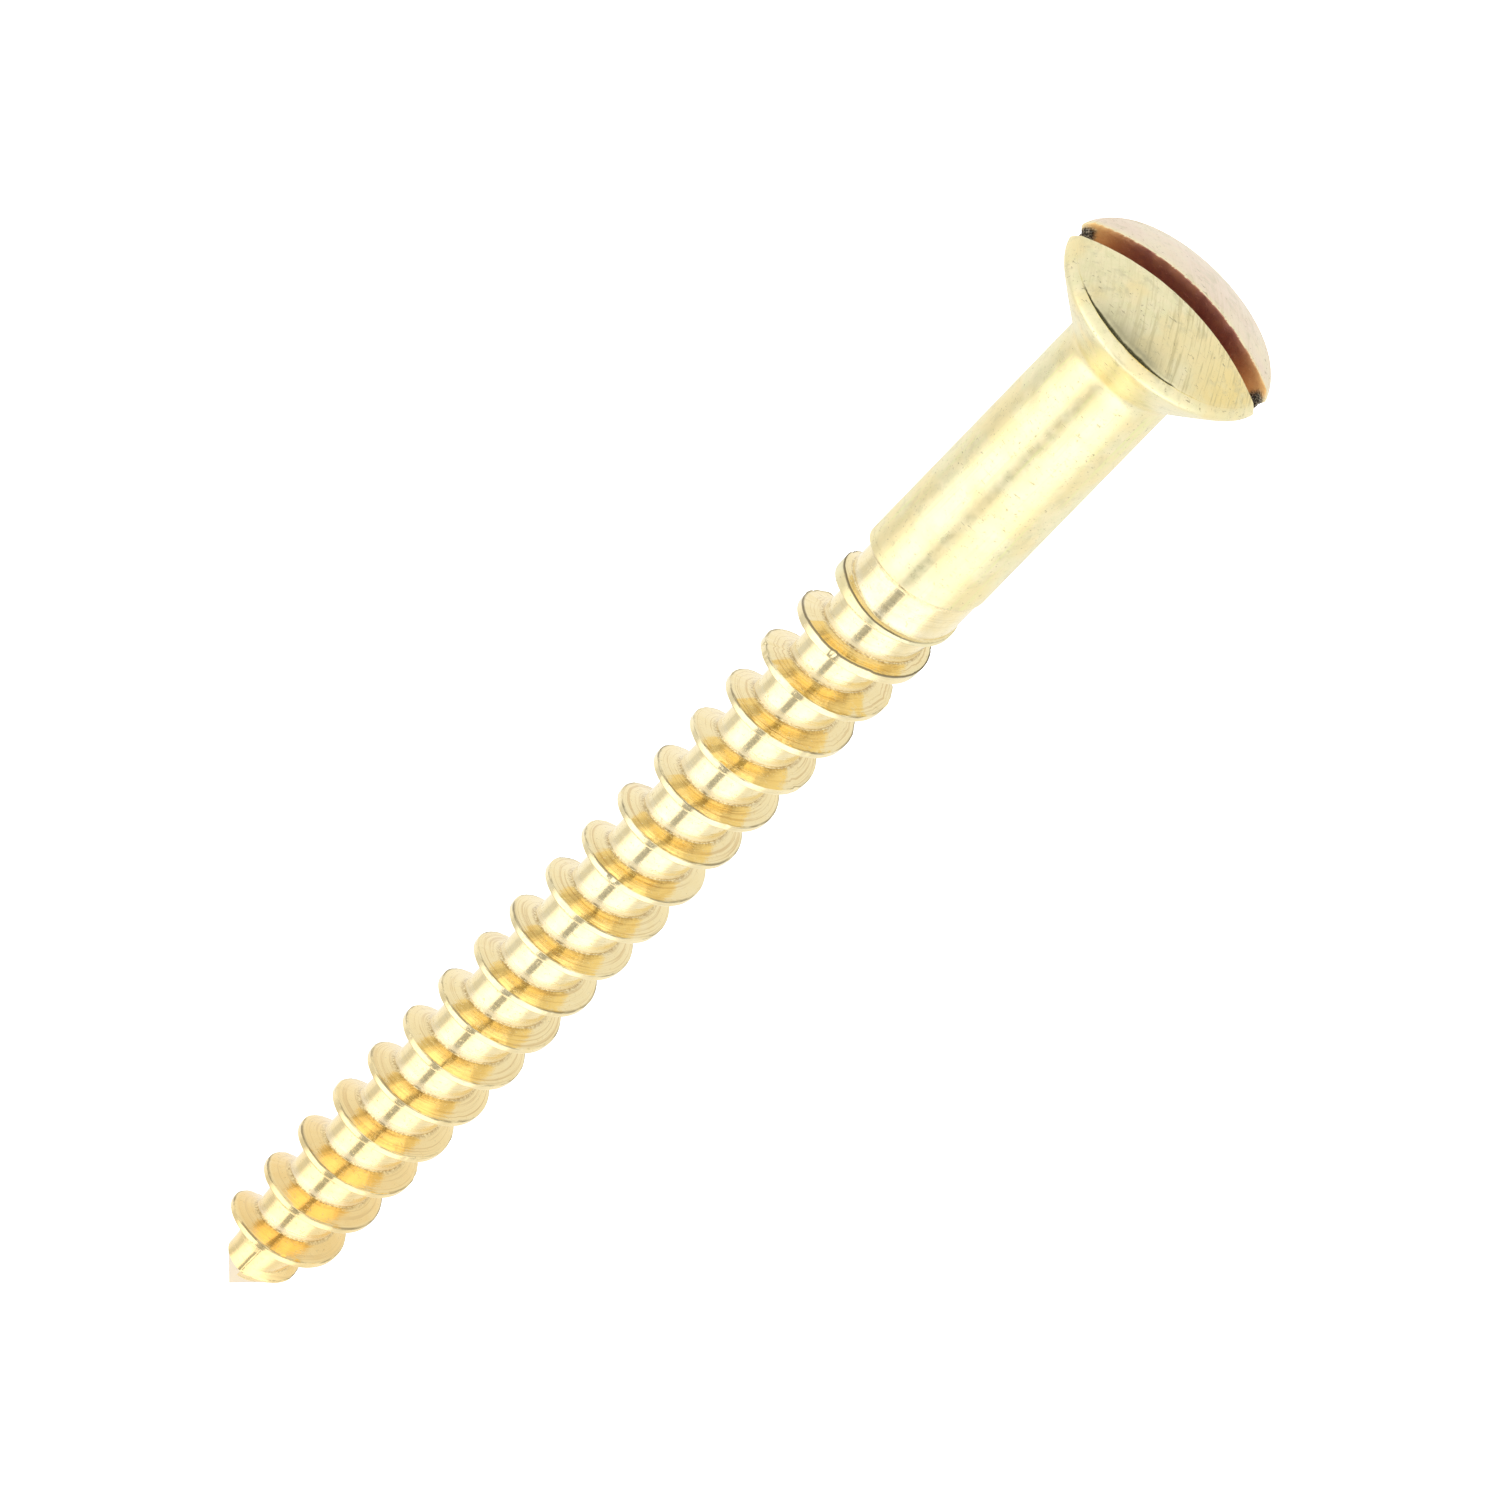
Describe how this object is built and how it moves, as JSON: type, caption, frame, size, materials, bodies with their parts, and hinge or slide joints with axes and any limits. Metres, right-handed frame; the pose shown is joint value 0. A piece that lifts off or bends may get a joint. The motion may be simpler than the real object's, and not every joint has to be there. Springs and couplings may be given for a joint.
{
  "type": "wood screw",
  "caption": "Slotted raised-countersunk wood screw in solid brass: domed countersunk head, plain upper shank, coarse cut thread and a short conical point.",
  "frame": {"origin": "on the screw axis, in the plane of the head's widest circle, which ends flush with the surface of the wood", "axes": "+Z along the screw axis towards the head; the driving slot runs along X"},
  "size_m": [0.0094, 0.0096, 0.0615],
  "materials": {
    "brass": "plain brass, satin with fine tool marks"
  },
  "bodies": {
    "root": {"screw_body": "brass"}
  },
  "joints": []
}
